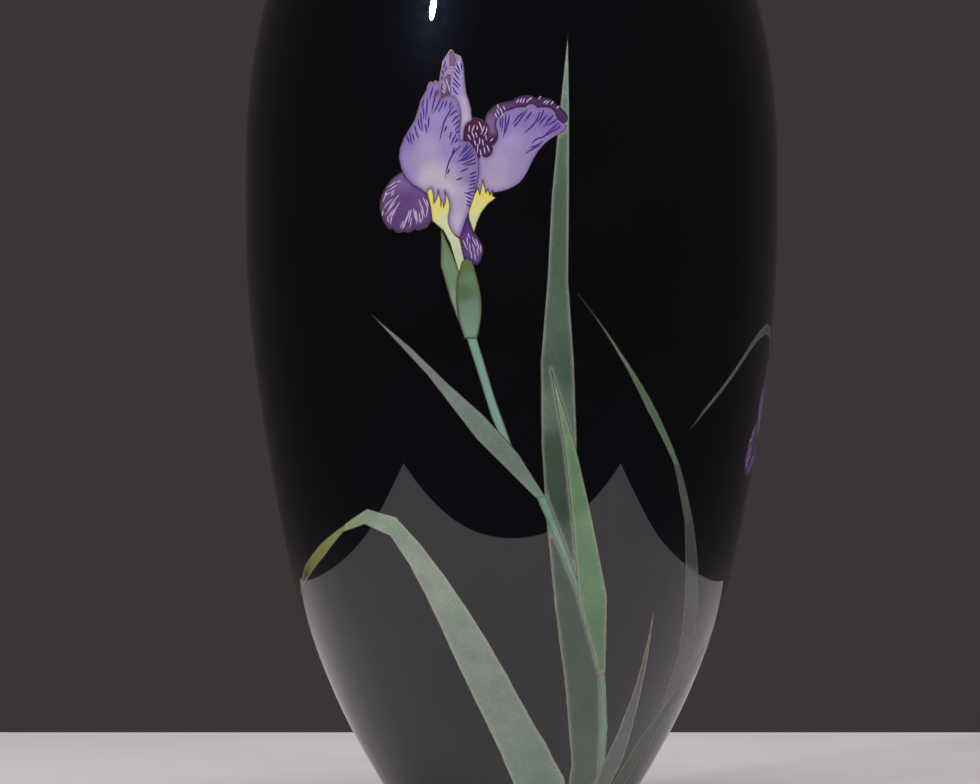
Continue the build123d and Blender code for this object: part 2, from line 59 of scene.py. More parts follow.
def smooth_through(points, steps):
    """Points of the natural cubic spline through the given ones."""
    points = np.array(points, float)
    gaps = np.linalg.norm(np.diff(points, axis=0), axis=1)
    knots = np.concatenate([[0.0], np.cumsum(gaps)])
    count = len(points)
    rows = np.eye(count)
    right = np.zeros_like(points)
    for i in range(1, count - 1):
        rows[i, i - 1: i + 2] = gaps[i - 1], 2 * (gaps[i - 1] + gaps[i]), gaps[i]
        after = (points[i + 1] - points[i]) / gaps[i]
        ahead = (points[i] - points[i - 1]) / gaps[i - 1]
        right[i] = 6 * (after - ahead)
    bend = np.linalg.solve(rows, right)
    place = np.linspace(0.0, knots[-1], steps)
    i = np.clip(np.searchsorted(knots, place, side="right") - 1, 0, count - 2)
    gap = gaps[i][:, None]
    a = (knots[i + 1] - place)[:, None] / gap
    b = 1.0 - a
    return (
        a * points[i] + b * points[i + 1]
        + ((a ** 3 - a) * bend[i] + (b ** 3 - b) * bend[i + 1]) * gap ** 2 / 6
    )


WALL = smooth_through(WALL_POINTS, WALL_STEPS)
WALL_SLOPE = np.gradient(WALL[:, 0]) / np.gradient(WALL[:, 1])


def wall_radius(height):
    return np.interp(height, WALL[:, 1], WALL[:, 0])


def wall_normals(places):
    """Outward normals of the wall at places in millimetres."""
    slope = np.interp(places[:, 2], WALL[:, 1], WALL_SLOPE)
    radius = np.hypot(places[:, 0], places[:, 1])
    normals = np.stack([places[:, 0] / radius, places[:, 1] / radius, -slope], axis=1)
    return normals / np.linalg.norm(normals, axis=1)[:, None]


# ---- materials -----------------------------------------------------------------------------

def blank_material(name):
    material = bpy.data.materials.new(name)
    material.use_nodes = True
    tree = material.node_tree
    return material, tree, tree.nodes["Principled BSDF"]


def noise(tree, scale, detail=3.0, roughness=0.55):
    """A noise texture in the object's own coordinates, which are metres."""
    place = tree.nodes.new("ShaderNodeTexCoord")
    texture = tree.nodes.new("ShaderNodeTexNoise")
    texture.inputs["Scale"].default_value = scale
    texture.inputs["Detail"].default_value = detail
    texture.inputs["Roughness"].default_value = roughness
    tree.links.new(place.outputs["Object"], texture.inputs["Vector"])
    return texture.outputs["Fac"]


def ranged(tree, value, low, high, start=0.3, end=0.7):
    """The value, stretched from start..end to low..high."""
    node = tree.nodes.new("ShaderNodeMapRange")
    node.inputs["From Min"].default_value = start
    node.inputs["From Max"].default_value = end
    node.inputs["To Min"].default_value = low
    node.inputs["To Max"].default_value = high
    tree.links.new(value, node.inputs["Value"])
    return node.outputs["Result"]


def times(tree, colour, factor):
    """A colour made darker or lighter by a factor."""
    node = tree.nodes.new("ShaderNodeVectorMath")
    node.operation = "SCALE"
    tree.links.new(colour, node.inputs[0])
    tree.links.new(factor, node.inputs["Scale"])
    return node.outputs["Vector"]


def bump(tree, shader, height, strength, distance):
    node = tree.nodes.new("ShaderNodeBump")
    node.inputs["Strength"].default_value = strength
    node.inputs["Distance"].default_value = distance
    tree.links.new(height, node.inputs["Height"])
    tree.links.new(node.outputs["Normal"], shader.inputs["Normal"])


def plain_colour(tree, colour):
    node = tree.nodes.new("ShaderNodeRGB")
    node.outputs[0].default_value = (*colour, 1.0)
    return node.outputs[0]


def enamel(name, colour=None, grain=0.1, cloud=0.1, rough=(0.03, 0.06), ripple=0.02):
    """Polished glass enamel: its colour is the mesh's tint, or one given, with grain and clouds."""
    material, tree, shader = blank_material(name)
    if colour is None:
        tint = tree.nodes.new("ShaderNodeAttribute")
        tint.attribute_name = "tint"
        base = tint.outputs["Color"]
    else:
        base = plain_colour(tree, colour)
    fine = ranged(tree, noise(tree, 1500.0, 4.0, 0.7), 1.0 - grain, 1.0 + grain)
    broad = ranged(tree, noise(tree, 130.0, 3.0), 1.0 - cloud, 1.0 + cloud)
    shaded = times(tree, times(tree, base, fine), broad)
    tree.links.new(shaded, shader.inputs["Base Color"])
    polish = ranged(tree, noise(tree, 60.0, 5.0), *rough)
    tree.links.new(polish, shader.inputs["Roughness"])
    shader.inputs["IOR"].default_value = 1.56
    bump(tree, shader, noise(tree, 70.0, 2.0), ripple, 0.0004)
    return material


def metal(name, colour, tarnish, rough, scale):
    """Worked metal with patches of tarnish and fine wear."""
    material, tree, shader = blank_material(name)
    mix = tree.nodes.new("ShaderNodeMix")
    mix.data_type = "RGBA"
    tree.links.new(ranged(tree, noise(tree, scale, 6.0), 0.0, 1.0, 0.42, 0.66), mix.inputs[0])
    tree.links.new(plain_colour(tree, colour), mix.inputs["A"])
    tree.links.new(plain_colour(tree, tarnish), mix.inputs["B"])
    tree.links.new(mix.outputs["Result"], shader.inputs["Base Color"])
    tree.links.new(
        ranged(tree, noise(tree, scale * 3, 6.0), *rough), shader.inputs["Roughness"]
    )
    shader.inputs["Metallic"].default_value = 1.0
    bump(tree, shader, noise(tree, scale * 8, 4.0), 0.08, 0.0001)
    return material


def srgb(red, green, blue):
    """Linear colour from one given as 0 to 255 on screen."""
    parts = np.array([red, green, blue], float) / 255.0
    return np.where(parts <= 0.04045, parts / 12.92, ((parts + 0.055) / 1.055) ** 2.4)


# ---- meshes --------------------------------------------------------------------------------

def mesh_object(name, places, faces, normals=None, tints=None):
    """A smooth mesh from places in millimetres."""
    mesh = bpy.data.meshes.new(name)
    mesh.from_pydata((np.asarray(places) * MM).tolist(), [], faces)
    mesh.polygons.foreach_set("use_smooth", [True] * len(mesh.polygons))
    if tints is not None:
        layer = mesh.color_attributes.new("tint", "FLOAT_COLOR", "POINT")
        rgba = np.ones((len(places), 4))
        rgba[:, :3] = tints
        layer.data.foreach_set("color", rgba.ravel())
    mesh.update()
    if normals is not None:
        mesh.normals_split_custom_set_from_vertices(np.asarray(normals).tolist())
    piece = bpy.data.objects.new(name, mesh)
    bpy.context.scene.collection.objects.link(piece)
    return piece


def finish_piece(piece, material):
    piece.data.materials.append(material)
    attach(piece, "root")


def lathe(name, outline, steps):
    """A surface of revolution about the Z axis."""
    outline = np.asarray(outline, float)
    turn = np.linspace(0.0, 2 * math.pi, steps, endpoint=False)
    places = np.stack([
        np.outer(outline[:, 0], np.cos(turn)),
        np.outer(outline[:, 0], np.sin(turn)),
        np.outer(outline[:, 1], np.ones(steps)),
    ], axis=2).reshape(-1, 3)
    faces = []
    for ring in range(len(outline) - 1):
        for step in range(steps):
            near = ring * steps + step
            beside = ring * steps + (step + 1) % steps
            faces.append((near, beside, beside + steps, near + steps))
    return mesh_object(name, places, faces)


OUTER = 0.3                # a corner this close to the wall is on its outer face, mm
WELD = 0.004               # corners closer than this are one corner, mm
SHORTEST = 0.002           # edges below this are dropped, mm
ROUNDS = 12                # most times that long edges are halved
RIM_STRENGTH = 0.85        # how much of the rim colour shows at the very rim


def on_wall(across, height, azimuth, lift):
    """Places on the wall, seen along an azimuth in degrees, raised by lift."""
    radius = wall_radius(height)
    depth = np.sqrt(np.maximum(radius ** 2 - across ** 2, 0.0))
    turn = math.radians(azimuth)
    places = np.stack([
        across * math.cos(turn) + depth * math.sin(turn),
        across * math.sin(turn) - depth * math.cos(turn),
        height,
    ], axis=1)
    normals = wall_normals(places)
    return places + normals * lift, normals


def outer_faces(node, azimuth):
    """The outer triangles of a CAD piece, as flat (across, height) corners and triangles."""
    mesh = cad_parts[node].data
    places = np.array([vertex.co for vertex in mesh.vertices]) / MM
    outside = np.abs(np.hypot(places[:, 0], places[:, 1]) - wall_radius(places[:, 2])) < OUTER
    turn = math.radians(azimuth)
    across = places[:, 0] * math.cos(turn) + places[:, 1] * math.sin(turn)
    mesh.calc_loop_triangles()
    faces = [
        tuple(triangle.vertices) for triangle in mesh.loop_triangles
        if all(outside[corner] for corner in triangle.vertices)
    ]
    return np.stack([across, places[:, 2]], axis=1), faces


def refined(flat, faces, azimuth, longest):
    """The same flat area in triangles whose edges on the wall are short."""
    work = bmesh.new()
    corners = [work.verts.new((x, z, 0.0)) for x, z in flat]
    for face in faces:
        try:
            work.faces.new([corners[i] for i in face])
        except ValueError:     # the same triangle twice
            continue
    loose = [corner for corner in work.verts if not corner.link_faces]
    bmesh.ops.delete(work, geom=loose, context="VERTS")
    bmesh.ops.remove_doubles(work, verts=work.verts[:], dist=WELD)
    bmesh.ops.dissolve_degenerate(work, edges=work.edges[:], dist=SHORTEST)
    rim = np.array([
        [corner.co[:2] for corner in edge.verts] for edge in work.edges if edge.is_boundary
    ])
    for _ in range(ROUNDS):
        work.verts.index_update()
        flat_now = np.array([corner.co[:2] for corner in work.verts])
        raised, _ = on_wall(flat_now[:, 0], flat_now[:, 1], azimuth, 0.0)
        long_edges = [
            edge for edge in work.edges
            if np.linalg.norm(raised[edge.verts[0].index] - raised[edge.verts[1].index]) > longest
        ]
        if not long_edges:
            break
        bmesh.ops.subdivide_edges(work, edges=long_edges, cuts=1)
        many = [face for face in work.faces if len(face.verts) > 3]
        bmesh.ops.triangulate(work, faces=many)
    work.verts.index_update()
    flat_now = np.array([corner.co[:2] for corner in work.verts])
    faces_now = [tuple(corner.index for corner in face.verts) for face in work.faces]
    work.free()
    return flat_now, faces_now, rim


def distance_to_rim(flat, rim):
    """How far each flat place is from the nearest boundary edge."""
    start = rim[:, 0][None]
    along = (rim[:, 1] - rim[:, 0])[None]
    length = np.maximum((along ** 2).sum(axis=2), 1e-9)
    offset = flat[:, None] - start
    share = np.clip((offset * along).sum(axis=2) / length, 0.0, 1.0)
    gap = offset - share[..., None] * along
    return np.sqrt((gap ** 2).sum(axis=2)).min(axis=1)


def blended(flat, patches):
    """Colours between patches given as (across, height, red, green, blue)."""
    table = np.array(patches, float)
    gap = ((flat[:, None, :] - table[None, :, :2]) ** 2).sum(axis=2)
    weight = 1.0 / (gap + 1.0) ** 1.6
    weight /= weight.sum(axis=1)[:, None]
    colours = np.array([srgb(*row) for row in table[:, 2:]])
    return weight @ colours


def outward(faces, places, normals):
    """The faces, each turned to face outward."""
    turned = []
    for face in faces:
        a, b, c = (places[i] for i in face)
        if np.dot(np.cross(b - a, c - a), normals[face[0]]) < 0:
            face = face[::-1]
        turned.append(face)
    return turned


def skin(node, azimuth, patches, edge, edge_width, lift, longest, material):
    """A polished cell: the outer face of a CAD piece, dense and smooth, with blended colours."""
    flat, faces = outer_faces(node, azimuth)
    flat, faces, rim = refined(flat, faces, azimuth, longest)
    places, normals = on_wall(flat[:, 0], flat[:, 1], azimuth, lift)
    tints = None
    if patches:
        tints = blended(flat, patches)
        if edge:
            near = np.exp(-(distance_to_rim(flat, rim) / edge_width) ** 2)[:, None] * RIM_STRENGTH
            tints = tints * (1.0 - near) + srgb(*edge) * near
    piece = mesh_object(
        "glaze_" + node, places, outward(faces, places, normals), normals, tints
    )
    finish_piece(piece, material)
    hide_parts(node)
    return piece


def veins(name, azimuth, strokes, width, lift, material):
    """Tapered painted strokes on the petals."""
    places, normals, faces = [], [], []
    for stroke in strokes:
        line = smooth_through(stroke, 9) if len(stroke) > 2 else np.linspace(*stroke, 9)
        heading = np.gradient(line, axis=0)
        heading /= np.linalg.norm(heading, axis=1)[:, None]
        taper = width * np.array([0.35, 0.75, 0.95, 1.0, 1.0, 0.9, 0.75, 0.5, 0.15]) / 2
        side = np.stack([-heading[:, 1], heading[:, 0]], axis=1) * taper[:, None]
        start = len(places)
        for pair in zip(line + side, line - side):
            flat = np.array(pair)
            raised, normal = on_wall(flat[:, 0], flat[:, 1], azimuth, lift)
            places += list(raised)
            normals += list(normal)
        for step in range(len(line) - 1):
            a = start + 2 * step
            faces += [(a, a + 1, a + 3), (a, a + 3, a + 2)]
    places, normals = np.array(places), np.array(normals)
    piece = mesh_object(name, places, outward(faces, places, normals), normals)
    finish_piece(piece, material)
    return piece


# ---- body ----------------------------------------------------------------------------------

def ground_material():
    """Black glass: a sharp polish over a weak, wide, bluish scatter from fine pits."""
    material, tree, shader = blank_material("black_glaze")
    fine = ranged(tree, noise(tree, 1800.0, 4.0, 0.7), 0.6, 1.5)
    broad = ranged(tree, noise(tree, 45.0, 4.0), 0.8, 1.25)
    shaded = times(tree, times(tree, plain_colour(tree, (0.0012, 0.0012, 0.0020)), fine), broad)
    tree.links.new(shaded, shader.inputs["Base Color"])
    scatter = ranged(tree, noise(tree, 420.0, 5.0, 0.7), 0.27, 0.40)
    tree.links.new(scatter, shader.inputs["Roughness"])
    shader.inputs["IOR"].default_value = 1.5
    shader.inputs["Specular IOR Level"].default_value = 0.06
    shader.inputs["Specular Tint"].default_value = (0.35, 0.50, 1.0, 1.0)
    shader.inputs["Coat Weight"].default_value = 1.0
    shader.inputs["Coat Roughness"].default_value = 0.015
    shader.inputs["Coat IOR"].default_value = 1.56
    bump(tree, shader, noise(tree, 500.0, 5.0, 0.7), 0.35, 0.00005)
    return material


black_glaze = ground_material()
body_outline = [
    (WALL[0, 0] - GLAZE, FOOT_TOP), *WALL[::RING_STRIDE],
    (WALL[-1, 0], BODY_TOP), (WALL[-1, 0] - GLAZE, BODY_TOP),
]
ground = lathe("ground_glaze", body_outline, GROUND_SEGMENTS)
finish_piece(ground, black_glaze)
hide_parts("ground_enamel")

silver = metal("silver", (0.80, 0.79, 0.76), (0.42, 0.36, 0.28), (0.12, 0.30), 90.0)
wire_metal = metal("wire_silver", (0.36, 0.27, 0.16), (0.16, 0.11, 0.06), (0.30, 0.50), 300.0)
copper = metal("copper", (0.72, 0.36, 0.22), (0.30, 0.14, 0.09), (0.25, 0.5), 60.0)
counter_glaze = enamel(
    "counter_glaze", colour=(0.012, 0.016, 0.030), grain=0.3, cloud=0.35,
    rough=(0.08, 0.22), ripple=0.25,
)
MATERIAL_OF = {
    "foot_ring": silver, "mouth_rim": silver,
    "copper_lower_body": copper, "copper_upper_body": copper, "copper_base_disc": copper,
    "interior_enamel": counter_glaze, "base_enamel": counter_glaze,
}
for node, material in MATERIAL_OF.items():
    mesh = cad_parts[node].data
    mesh.materials.clear()
    mesh.materials.append(material)

# ---- cells ---------------------------------------------------------------------------------
# Azimuths of the drawing planes, in degrees to the right of -Y.
FRONT = 0.0
ARCH = -35.0
RIGHT = 60.0
SIDE = 102.0

# Each cell: colour patches (across, height, red, green, blue) on the plane of its drawing,
# then the colour along its rim and how wide that is in millimetres.

petal_glaze = enamel("petal_glaze", grain=0.05, cloud=0.06, rough=(0.05, 0.10), ripple=0.01)
leaf_glaze = enamel("leaf_glaze", grain=0.16, cloud=0.10, rough=(0.05, 0.10), ripple=0.01)

FLOWER_CELLS = {
    "standard_front": ([
        (-24.0, 236.0, 136, 116, 176), (-27.0, 229.0, 140, 122, 178),
        (-31.5, 220.0, 142, 122, 178), (-32.0, 211.0, 151, 131, 180),
        (-26.0, 218.0, 162, 150, 192), (-22.0, 226.0, 148, 132, 184),
        (-17.0, 231.0, 136, 114, 172), (-24.0, 210.0, 184, 177, 196),
        (-21.0, 204.0, 193, 181, 196), (-19.0, 219.0, 148, 132, 184),
        (-13.5, 217.0, 122, 102, 162), (-11.5, 209.0, 134, 116, 167),
        (-15.0, 203.0, 170, 157, 190), (-17.0, 195.0, 182, 170, 194),
    ], (124, 98, 166), 0.9),
    "standard_rear": ([
        (-20.5, 245.0, 151, 136, 182), (-21.0, 238.0, 158, 140, 184),
        (-17.0, 244.0, 162, 147, 190), (-16.0, 236.0, 151, 134, 182),
        (-15.2, 231.0, 175, 160, 190), (-14.5, 226.0, 178, 166, 190),
    ], (126, 104, 164), 0.5),
    "standard_rear_fold": ([
        (-19.3, 246.0, 118, 92, 142), (-19.3, 240.0, 124, 100, 148),
        (-20.5, 233.0, 92, 62, 108),
    ], (86, 58, 104), 0.4),
    "petal_centre": ([
        (-11.5, 225.5, 81, 37, 54), (-9.5, 225.0, 77, 37, 61),
        (-9.5, 220.0, 66, 37, 75), (-8.0, 216.5, 69, 42, 85),
    ], (58, 30, 66), 0.4),
    "petal_tip": ([
        (-13.0, 195.0, 84, 52, 112), (-14.5, 190.0, 92, 62, 124), (-11.0, 187.0, 98, 70, 132),
    ], (58, 34, 84), 0.4),
    "petal_right_margin": ([
        (-5.0, 219.5, 57, 31, 71), (-6.2, 224.5, 122, 92, 138), (-3.5, 229.0, 86, 59, 104),
        (3.5, 232.0, 76, 48, 92), (11.0, 231.0, 72, 44, 87), (15.5, 226.5, 79, 48, 87),
    ], (60, 36, 80), 0.4),
    "petal_right": ([
        (-2.5, 226.0, 138, 118, 176), (4.0, 227.0, 134, 114, 176),
        (11.0, 226.0, 126, 104, 168), (15.0, 224.5, 120, 92, 154),
        (0.0, 219.0, 156, 140, 186), (6.0, 219.0, 144, 126, 178),
        (-4.0, 213.0, 160, 149, 184), (2.0, 211.0, 147, 133, 177),
        (-6.0, 206.0, 166, 154, 184),
    ], (132, 108, 166), 0.8),
    "fall_left": ([
        (-33.0, 208.0, 116, 90, 146), (-38.0, 204.0, 104, 74, 126),
        (-39.0, 197.0, 94, 64, 114), (-33.0, 202.0, 96, 68, 122),
        (-30.0, 195.0, 92, 62, 114), (-26.5, 202.0, 104, 76, 130),
    ], (74, 46, 92), 0.5),
    "beard_left": ([
        (-25.0, 204.0, 232, 212, 96), (-22.5, 203.5, 236, 216, 100),
        (-20.0, 202.5, 230, 210, 104), (-23.0, 199.0, 222, 214, 120),
        (-20.5, 196.0, 204, 214, 176), (-18.5, 190.0, 190, 208, 184),
        (-16.5, 184.0, 180, 202, 178),
    ], (214, 200, 110), 0.25),
    "beard_right": ([
        (-12.0, 205.0, 226, 208, 92), (-9.0, 207.0, 232, 212, 96),
        (-6.5, 204.5, 226, 208, 100), (-9.5, 200.0, 214, 212, 138),
        (-12.0, 196.0, 196, 208, 170),
    ], (206, 194, 104), 0.25),
    "spathe_right": ([
        (-14.5, 183.0, 92, 112, 72), (-12.5, 178.0, 104, 130, 96),
        (-13.0, 170.0, 110, 137, 120), (-12.5, 162.0, 122, 151, 137),
        (-14.5, 174.0, 88, 106, 74),
    ], (84, 100, 70), 0.45),
    "spathe_left": ([
        (-20.5, 191.0, 104, 124, 84), (-20.0, 180.0, 110, 138, 106),
        (-17.5, 170.0, 128, 160, 142), (-15.5, 163.0, 134, 168, 152),
    ], (92, 112, 84), 0.4),
    "stem_upper": ([
        (-12.0, 158.0, 128, 166, 150), (-7.0, 140.0, 130, 170, 156), (-2.0, 126.0, 122, 160, 146),
    ], (104, 140, 126), 0.3),
}

SIDE_DROP = -75.0                  # the side flower stands this much lower, mm
SIDE_TONE = (0.85, 0.85, 0.95)     # the side flower is slightly deeper and bluer


def side_cell(cell):
    """The front flower's cell as it is on the side flower: lower, and deeper blue."""
    patches, edge, width = cell
    moved = [
        (x, z + SIDE_DROP, r * SIDE_TONE[0], g * SIDE_TONE[1], b * SIDE_TONE[2])
        for x, z, r, g, b in patches
    ]
    return moved, tuple(e * t for e, t in zip(edge, SIDE_TONE)), width


LEAF_CELLS = {
    "leaf_narrow": (FRONT, [
        (-38.0, 164.0, 109, 117, 110), (-25.0, 152.0, 119, 134, 125), (-12.0, 138.0, 116, 136, 125),
        (0.0, 125.0, 112, 129, 119), (8.0, 114.0, 119, 142, 132),
    ], (128, 148, 134), 0.35),
    "leaf_middle": (FRONT, [
        (12.5, 148.0, 116, 146, 112), (16.0, 132.0, 112, 144, 108), (20.0, 112.0, 106, 140, 102),
        (23.5, 90.0, 100, 134, 98), (27.0, 64.0, 96, 128, 92),
    ], (140, 166, 138), 0.4),
    "stem_middle": (FRONT, [
        (9.0, 108.0, 118, 160, 146), (16.0, 94.0, 116, 160, 148), (21.0, 82.0, 112, 156, 144),
    ], (96, 134, 122), 0.3),
    "stem_lower": (FRONT, [
        (27.5, 55.0, 118, 160, 146), (28.3, 40.0, 116, 158, 146), (28.0, 26.0, 112, 152, 140),
    ], (96, 134, 122), 0.3),
    "leaf_tall": (FRONT, [
        (16.2, 245.0, 94, 110, 99), (15.5, 220.0, 86, 103, 92), (14.6, 195.0, 79, 95, 84),
        (13.5, 170.0, 84, 104, 90), (13.0, 150.0, 78, 98, 84), (10.5, 140.0, 98, 116, 104),
        (14.5, 125.0, 66, 84, 70), (15.0, 105.0, 62, 78, 66), (17.5, 88.0, 64, 80, 68),
        (19.5, 70.0, 70, 86, 74), (22.0, 50.0, 73, 88, 75), (23.0, 30.0, 79, 94, 81),
    ], (134, 148, 138), 0.55),
    "leaf_arch": (ARCH, [
        (-8.0, 105.0, 146, 162, 130), (0.0, 106.5, 142, 162, 138), (8.0, 101.0, 134, 156, 134),
        (16.0, 88.0, 141, 155, 141), (24.0, 68.0, 132, 147, 134), (29.0, 48.0, 130, 145, 134),
        (31.0, 28.0, 118, 140, 126),
    ], (160, 174, 154), 0.4),
    "leaf_arch_tip": (ARCH, [
        (-14.0, 102.0, 142, 150, 108), (-26.0, 94.5, 132, 134, 78), (-42.0, 83.0, 85, 77, 49),
    ], (150, 150, 98), 0.3),
    # The bent leaf's patches go darker and greyer towards its lower end: painted shade from the
    # light falling off on this side, and a painted reflection of the floor as the grey.
    "leaf_bent_upper": (RIGHT, [
        (-57.0, 169.0, 80, 104, 74), (-45.0, 151.0, 84, 112, 82), (-28.0, 125.0, 88, 118, 90),
    ], (112, 138, 108), 0.3),
    "leaf_bent_lower": (RIGHT, [
        (-22.0, 116.0, 87, 101, 91), (-12.0, 92.0, 74, 79, 80), (-2.0, 66.0, 67, 68, 71),
        (0.5, 50.0, 65, 66, 68),
    ], (92, 98, 94), 0.3),
    "leaf_small": (RIGHT, [
        (-21.5, 68.0, 83, 89, 86), (-17.0, 42.0, 88, 96, 92), (-13.0, 20.0, 92, 99, 95),
    ], (128, 138, 128), 0.3),
    # The edge leaf is painted darkest at its right-hand end: painted shade where the light falls
    # off round the side.
    "leaf_edge": (RIGHT, [
        (40.0, 78.0, 36, 50, 37), (12.0, 55.0, 41, 56, 42), (-4.0, 30.0, 47, 64, 48),
    ], (96, 124, 98), 0.3),
    "leaf_thin": (RIGHT, [
        (-18.0, 138.0, 88, 92, 88), (2.0, 156.0, 92, 98, 92), (24.0, 164.0, 92, 106, 92),
    ], (116, 122, 114), 0.25),
    "leaf_side_short": (SIDE, [
        (-18.0, 96.0, 104, 126, 104), (-9.0, 62.0, 96, 122, 98), (-5.0, 22.0, 90, 114, 94),
    ], (134, 152, 134), 0.4),
    "stem_side": (SIDE, [(-1.0, 48.0, 118, 160, 146), (0.8, 20.0, 112, 152, 140)],
                  (96, 134, 122), 0.3),
    "leaf_side_tall": (SIDE, [
        (22.0, 186.0, 104, 128, 110), (17.0, 140.0, 84, 106, 90), (11.5, 90.0, 70, 90, 76),
        (8.0, 40.0, 80, 100, 84),
    ], (132, 148, 136), 0.5),
}

CELL_LIFT = 0.02           # how far the cells stand proud of the wall, mm
PETAL_GRID = 1.0           # longest edge of a petal's triangles, mm
SIDE_GRID = 1.4
LEAF_GRID = 1.6
for name, cell in FLOWER_CELLS.items():
    skin(name, FRONT, *cell, CELL_LIFT, PETAL_GRID, petal_glaze)
    skin(name + "_side", SIDE, *side_cell(cell), CELL_LIFT, SIDE_GRID, petal_glaze)
for name, (azimuth, patches, edge, width) in LEAF_CELLS.items():
    skin(name, azimuth, patches, edge, width, CELL_LIFT, LEAF_GRID, leaf_glaze)

# ---- wires ---------------------------------------------------------------------------------

WIRE_LIFT = 0.035          # the wires stand a little prouder than the cells, mm
WIRE_AZIMUTHS = {
    "wires_front": FRONT, "wires_flower_side": SIDE, "wires_leaf_arch": ARCH,
    "wires_leaves_right": RIGHT, "wires_leaves_side": SIDE,
}
for name, azimuth in WIRE_AZIMUTHS.items():
    skin(name, azimuth, None, None, 0.0, WIRE_LIFT, LEAF_GRID, wire_metal)

# ---- painted strokes on the petals ---------------------------------------------------------

